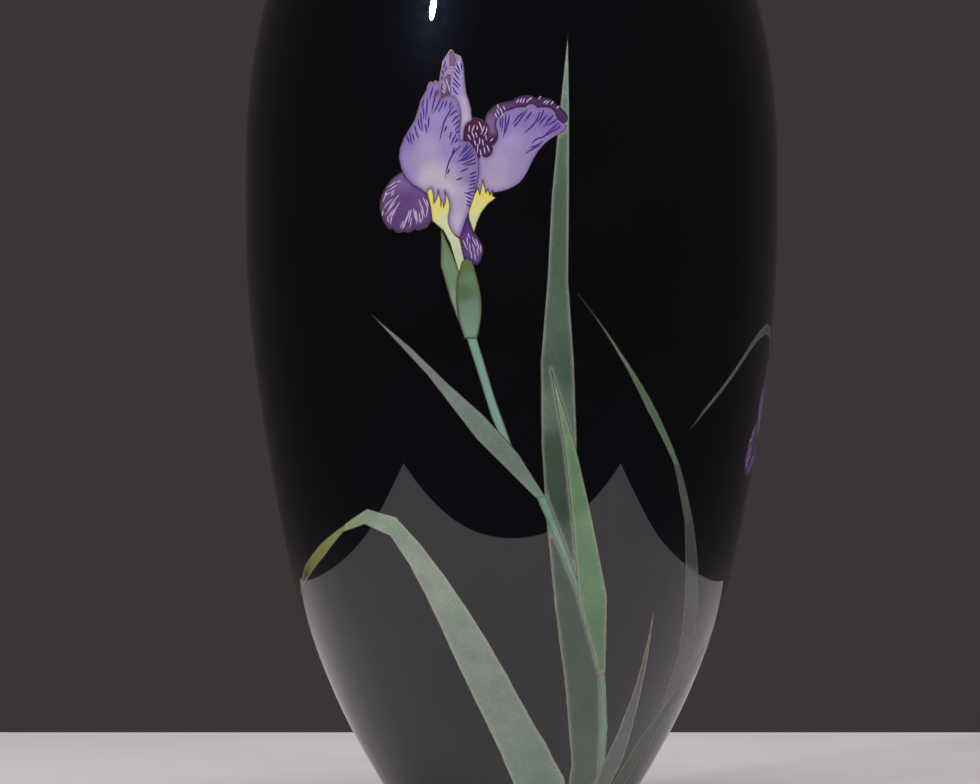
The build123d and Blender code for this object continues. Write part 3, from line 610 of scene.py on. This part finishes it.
# Lines of (across, height) in millimetres on the front drawing plane.
STROKE_LIFT = 0.05         # the strokes lie over cells and wires, mm
DARK_WIDTH = 0.5
PALE_WIDTH = 0.34
DARK_STROKES = [
    [(-23.9, 236.7), (-24.6, 234.4), (-25.1, 232.1)],
    [(-23.1, 235.5), (-23.7, 232.0), (-24.5, 228.8)], [(-22.4, 235.5), (-23.0, 233.4)],
    [(-26.8, 232.8), (-27.4, 229.8)], [(-25.7, 233.0), (-25.9, 229.8), (-26.3, 226.3)],
    [(-26.9, 230.2), (-26.8, 226.5)], [(-27.8, 228.9), (-27.5, 225.6), (-27.1, 222.8)],
    [(-28.5, 227.0), (-28.2, 224.7), (-27.5, 223.1)], [(-29.6, 224.8), (-28.9, 222.0)],
    [(-31.1, 223.1), (-30.8, 221.1), (-30.2, 219.0)], [(-32.0, 221.9), (-31.0, 219.2)],
    [(-30.2, 222.5), (-29.7, 220.1)], [(-26.4, 225.4), (-25.8, 222.3)],
    [(-25.2, 227.5), (-25.5, 223.7)], [(-29.2, 222.9), (-28.4, 221.0)],
    [(-21.7, 232.9), (-22.7, 230.6), (-24.2, 228.2)],
    [(-20.8, 232.1), (-21.7, 230.1), (-22.5, 228.6)], [(-19.8, 232.1), (-20.7, 229.6)],
    [(-18.5, 231.9), (-19.2, 229.6)],
    [(-17.8, 230.8), (-19.0, 228.7), (-20.4, 226.3), (-21.4, 222.7), (-22.1, 219.8)],
    [(-16.6, 229.2), (-17.9, 228.5), (-19.1, 227.2)],
    [(-15.9, 227.8), (-17.2, 226.9), (-18.5, 225.4)], [(-15.7, 226.4), (-17.9, 224.5)],
    [(-15.7, 225.1), (-17.5, 223.1)], [(-18.5, 222.8), (-19.0, 220.4)],
    [(-17.1, 222.0), (-17.9, 220.4), (-18.7, 218.6)], [(-16.5, 220.8), (-17.5, 219.2)],
    [(-19.9, 224.6), (-20.6, 222.7)], [(-16.2, 223.1), (-17.3, 222.1)],
    [(-15.5, 218.7), (-17.3, 216.9), (-18.8, 214.6), (-19.7, 212.1), (-20.3, 208.7)],
    [(-13.5, 219.0), (-15.3, 216.4)], [(-12.7, 218.5), (-14.8, 216.7), (-16.3, 215.1)],
    [(-12.2, 217.8), (-13.9, 216.0), (-15.4, 214.9)],
    [(-11.7, 217.0), (-14.4, 214.8), (-16.9, 213.7)],
    [(-11.4, 216.0), (-13.5, 214.6), (-15.8, 213.9)],
    [(-11.1, 214.6), (-13.0, 213.7), (-15.3, 212.8)],
    [(-11.0, 213.4), (-12.6, 212.9), (-14.4, 212.6)],
    [(-13.5, 211.7), (-14.8, 211.1), (-15.9, 210.6)], [(-15.2, 208.9), (-17.2, 208.1)],
    [(-17.5, 218.1), (-18.4, 215.5)], [(-19.0, 211.7), (-19.7, 209.8)],
    [(-10.9, 210.6), (-13.0, 209.8)], [(-10.8, 209.4), (-13.1, 208.7)],
    [(-10.9, 208.3), (-13.0, 207.7)], [(-11.0, 207.2), (-13.3, 206.6)],
    [(-11.1, 206.0), (-13.5, 205.4)], [(-11.2, 204.8), (-13.7, 204.4)],
    [(-11.8, 203.5), (-14.8, 204.5)], [(-12.2, 202.3), (-14.2, 203.3)],
    [(-12.6, 201.2), (-13.9, 202.1)], [(-12.9, 200.1), (-13.8, 201.0)],
    [(-3.8, 226.7), (-3.8, 223.7)], [(-3.1, 227.7), (-3.2, 224.4), (-3.4, 222.6)],
    [(-2.2, 228.1), (-2.3, 224.4), (-2.8, 222.1)], [(-1.0, 227.8), (-1.7, 224.4), (-3.1, 220.7)],
    [(3.2, 228.7), (1.7, 227.2), (-0.1, 224.8)], [(4.3, 229.2), (2.4, 226.7), (0.8, 224.4)],
    [(5.7, 228.7), (4.6, 227.2), (3.5, 225.7)], [(1.3, 225.4), (0.3, 224.0)],
    [(8.1, 228.7), (7.2, 226.3), (5.4, 224.0), (3.1, 222.0)],
    [(9.3, 229.3), (8.5, 227.2), (7.3, 225.3)], [(10.4, 227.8), (9.1, 226.3), (7.7, 224.4)],
    [(12.3, 227.9), (10.7, 225.9), (9.0, 223.9)], [(13.8, 226.9), (11.8, 225.4), (9.9, 224.4)],
    [(13.9, 225.4), (11.8, 223.6), (9.5, 221.7)], [(12.9, 223.6), (10.4, 221.9), (8.0, 220.7)],
    [(9.5, 221.0), (7.2, 220.5), (5.5, 218.8)], [(9.1, 219.9), (7.0, 218.5), (4.7, 217.9)],
    [(8.2, 218.6), (6.3, 217.7), (3.5, 215.9)], [(14.4, 224.5), (12.3, 222.8)],
    [(11.4, 227.0), (10.0, 225.6)], [(-20.1, 244.1), (-21.0, 241.7)],
    [(-19.9, 242.6), (-20.6, 240.6)], [(-21.3, 241.4), (-20.8, 239.8)],
    [(-21.1, 239.6), (-21.5, 238.4)], [(-17.1, 243.5), (-15.7, 240.6)],
    [(-17.4, 241.8), (-15.8, 240.0)], [(-17.7, 240.9), (-16.9, 239.5), (-16.0, 238.3)],
    [(-18.0, 239.1), (-16.9, 237.7), (-15.7, 236.4)], [(-18.1, 237.7), (-16.3, 235.8)],
    [(-18.0, 236.3), (-17.4, 234.9), (-16.3, 233.7)], [(-15.5, 243.5), (-15.3, 241.2)],
]
PALE_STROKES = [
    [(-21.0, 238.4), (-20.6, 237.1), (-20.0, 235.8)], [(-20.1, 238.9), (-19.4, 236.5)],
    [(-21.1, 236.8), (-20.1, 234.7)], [(-21.4, 235.4), (-20.3, 234.2)],
    [(-19.3, 236.8), (-19.0, 234.8)], [(-19.0, 241.9), (-17.8, 242.5)],
    [(-19.2, 241.0), (-17.9, 241.7)], [(-19.3, 240.2), (-18.5, 240.7)],
    [(-35.3, 208.0), (-36.6, 207.1), (-38.1, 206.2)],
    [(-34.7, 207.1), (-36.2, 206.2), (-37.7, 205.3)], [(-33.8, 208.4), (-35.0, 207.8)],
    [(-37.3, 204.8), (-39.0, 203.2)], [(-36.2, 202.9), (-37.6, 201.6), (-39.1, 199.8)],
    [(-34.3, 203.9), (-36.2, 201.8), (-37.7, 199.4)],
    [(-35.4, 201.9), (-37.1, 199.9), (-38.5, 197.9)],
    [(-34.0, 201.9), (-35.5, 199.7), (-37.1, 197.4)], [(-36.2, 199.5), (-38.0, 196.6)],
    [(-36.5, 197.8), (-36.9, 195.1)], [(-38.1, 204.6), (-39.3, 202.0)],
    [(-28.3, 202.5), (-27.6, 200.5), (-26.8, 199.1)],
    [(-27.1, 203.1), (-26.3, 201.5), (-25.7, 199.9)], [(-26.1, 202.5), (-25.3, 200.4)],
    [(-27.2, 200.4), (-26.9, 198.4), (-26.3, 196.8)],
    [(-29.2, 199.3), (-28.9, 197.2), (-28.5, 195.5)],
    [(-29.9, 199.9), (-29.6, 198.0), (-29.3, 196.3)],
    [(-31.1, 199.5), (-31.6, 197.5), (-32.3, 195.5)],
    [(-31.9, 197.6), (-32.6, 195.4), (-33.7, 193.7)], [(-30.5, 197.2), (-31.0, 194.1)],
    [(-28.2, 198.6), (-28.0, 195.4)], [(-32.8, 196.2), (-34.0, 194.1)],
    [(-13.8, 191.0), (-13.5, 188.5)], [(-15.0, 190.3), (-14.3, 188.6), (-13.4, 187.0)],
    [(-13.0, 189.2), (-12.9, 186.2)], [(-13.5, 192.2), (-12.9, 190.6)],
    [(-12.2, 191.2), (-11.5, 189.5), (-10.6, 187.9)],
    [(-11.2, 190.6), (-10.5, 188.8), (-10.0, 187.0)],
    [(-12.2, 189.1), (-11.7, 187.4), (-11.4, 185.7)], [(-10.7, 187.8), (-10.4, 185.3)],
    [(-9.7, 188.8), (-9.6, 186.2)], [(-12.6, 186.9), (-12.3, 184.4)],
    [(-11.5, 186.2), (-11.2, 184.0)], [(-11.5, 224.7), (-12.4, 222.5)],
    [(-10.2, 225.8), (-9.7, 224.5), (-9.1, 222.4)], [(-8.5, 224.5), (-9.1, 222.8), (-9.7, 221.6)],
    [(-7.8, 224.0), (-8.0, 222.6), (-8.8, 221.4)], [(-12.4, 222.8), (-11.5, 220.6)],
    [(-13.5, 221.9), (-12.7, 220.2)], [(-10.7, 224.5), (-10.7, 223.1)],
    [(-9.2, 220.4), (-8.8, 218.4)], [(-10.5, 219.1), (-10.7, 216.0)],
    [(-8.7, 218.0), (-8.3, 216.0)], [(-7.8, 218.6), (-7.0, 216.5)], [(-9.8, 217.3), (-9.5, 215.2)],
    [(-6.8, 219.7), (-5.8, 220.8)], [(1.1, 231.3), (1.8, 232.5)], [(2.1, 231.3), (2.7, 232.8)],
    [(3.0, 231.3), (3.5, 232.8)], [(4.1, 231.4), (4.9, 232.6)], [(9.1, 231.2), (10.3, 232.2)],
    [(9.9, 231.0), (11.1, 232.1)], [(-4.9, 229.4), (-4.0, 227.6)], [(-3.9, 229.8), (-3.1, 228.0)],
    [(-3.3, 228.6), (-3.0, 227.2)], [(-5.4, 228.3), (-4.6, 226.6)], [(4.9, 232.2), (5.8, 233.1)],
    [(-38.7, 204.1), (-37.9, 205.3)], [(-36.8, 203.7), (-35.7, 204.9)],
    [(-35.0, 200.4), (-36.2, 198.1), (-37.2, 196.0)], [(-37.8, 197.6), (-37.5, 195.5)],
    [(-30.6, 199.5), (-31.0, 197.5), (-31.5, 195.4)],
    [(-29.4, 199.0), (-29.1, 196.6), (-28.9, 194.9)],
    [(-27.7, 199.8), (-27.2, 197.5), (-27.1, 195.8)],
    [(-25.5, 200.9), (-25.8, 198.8), (-26.0, 197.0)], [(-32.4, 195.4), (-33.2, 193.6)],
    [(-27.8, 197.0), (-27.6, 195.2)], [(-35.7, 205.5), (-37.2, 204.3)],
    [(-39.2, 199.5), (-39.4, 197.7)], [(-13.0, 224.5), (-13.2, 222.6)],
    [(-11.2, 222.6), (-10.7, 220.8)], [(-10.0, 220.8), (-10.0, 218.8)],
    [(-11.6, 220.3), (-11.2, 218.5)], [(-8.1, 221.7), (-7.9, 220.0)],
    [(-4.7, 230.9), (-4.2, 229.5)], [(-2.9, 230.4), (-2.3, 229.0)], [(7.7, 232.4), (8.4, 233.4)],
    [(11.4, 230.9), (12.3, 231.9)], [(13.0, 229.7), (14.0, 230.5)],
]


def lowered(strokes):
    """The front flower's strokes at the side flower's height."""
    return [[(x, z + SIDE_DROP) for x, z in stroke] for stroke in strokes]


dark_paint = enamel("dark_paint", colour=tuple(srgb(66, 52, 122)), grain=0.15, cloud=0.2)
pale_paint = enamel("pale_paint", colour=tuple(srgb(188, 172, 206)), grain=0.12, cloud=0.12)
veins("veins_dark", FRONT, DARK_STROKES, DARK_WIDTH, STROKE_LIFT, dark_paint)
veins("veins_pale", FRONT, PALE_STROKES, PALE_WIDTH, STROKE_LIFT, pale_paint)
veins("veins_dark_side", SIDE, lowered(DARK_STROKES), DARK_WIDTH, STROKE_LIFT,
      dark_paint)
veins("veins_pale_side", SIDE, lowered(PALE_STROKES), PALE_WIDTH, STROKE_LIFT,
      pale_paint)

# ---- floor, light and camera ---------------------------------------------------------------

FLOOR_CORNERS = [(-330, -290), (330, -290), (330, 460), (-330, 460)]    # mm
FLOOR_COLOUR = (0.66, 0.63, 0.66)


def floor_material(name, colour):
    material, tree, shader = blank_material(name)
    soft = ranged(tree, noise(tree, 14.0, 4.0), 0.96, 1.04)
    tree.links.new(times(tree, plain_colour(tree, colour), soft), shader.inputs["Base Color"])
    shader.inputs["Roughness"].default_value = 0.75
    bump(tree, shader, noise(tree, 900.0, 2.0), 0.05, 0.0001)
    return material


floor = mesh_object("floor", [(x, y, 0.0) for x, y in FLOOR_CORNERS], [(0, 1, 2, 3)])
floor.data.materials.append(floor_material("floor_pale", FLOOR_COLOUR))


def area_light(name, place, target, size, power, colour, glossy):
    """A soft lamp that points at target; glossy says whether its reflection shows."""
    data = bpy.data.lights.new(name, "AREA")
    data.shape = "ELLIPSE"
    data.size, data.size_y = size
    data.energy = power
    data.color = colour
    lamp = bpy.data.objects.new(name, data)
    lamp.location = place
    aim = (np.array(target) - np.array(place)).tolist()
    lamp.rotation_euler = Vector(aim).to_track_quat("-Z", "Y").to_euler()
    lamp.visible_glossy = glossy
    lamp.visible_camera = False
    bpy.context.scene.collection.objects.link(lamp)


area_light("key", (-0.839, -1.12, 0.964), (-0.02, -0.05, 0.22), (0.07, 0.15), 6.0,
           (1.0, 0.97, 0.95), True)
area_light("soft_key", (-0.70, -1.05, 0.95), (0.0, -0.05, 0.18), (0.7, 0.7), 6.0,
           (1.0, 0.97, 0.95), False)
area_light("overhead", (0.05, -0.50, 1.15), (0.0, -0.20, 0.0), (0.8, 0.6), 14.0,
           (1.0, 0.97, 0.97), False)
area_light("right_fill", (1.25, -0.15, 0.75), (0.0, 0.0, 0.12), (0.8, 0.8), 5.0,
           (1.0, 0.98, 0.97), False)
area_light("back_fill", (0.30, 1.25, 1.00), (0.0, 0.0, 0.15), (0.8, 0.8), 3.5,
           (1.0, 0.98, 0.97), False)


def even_world():
    """An even warm grey all round."""
    world = bpy.data.worlds.new("even_grey")
    world.use_nodes = True
    sky = world.node_tree.nodes["Background"]
    sky.inputs["Color"].default_value = (1.0, 0.86, 0.88, 1.0)
    sky.inputs["Strength"].default_value = 0.043
    return world


bpy.context.scene.world = even_world()

CAMERA_PLACE = (-0.00687, -1.4, 0.1445)    # level, looking along +Y, metres
CAMERA_LENS = 160.95
camera_data = bpy.data.cameras.new("camera")
camera_data.lens = CAMERA_LENS
camera_data.sensor_width = 36.0
camera_data.clip_start = 0.05
camera_data.clip_end = 20.0
camera = bpy.data.objects.new("camera", camera_data)
camera.location = CAMERA_PLACE
camera.rotation_euler = (math.radians(90.0), 0.0, 0.0)
bpy.context.scene.collection.objects.link(camera)
bpy.context.scene.camera = camera
bpy.context.scene.view_settings.view_transform = "Standard"
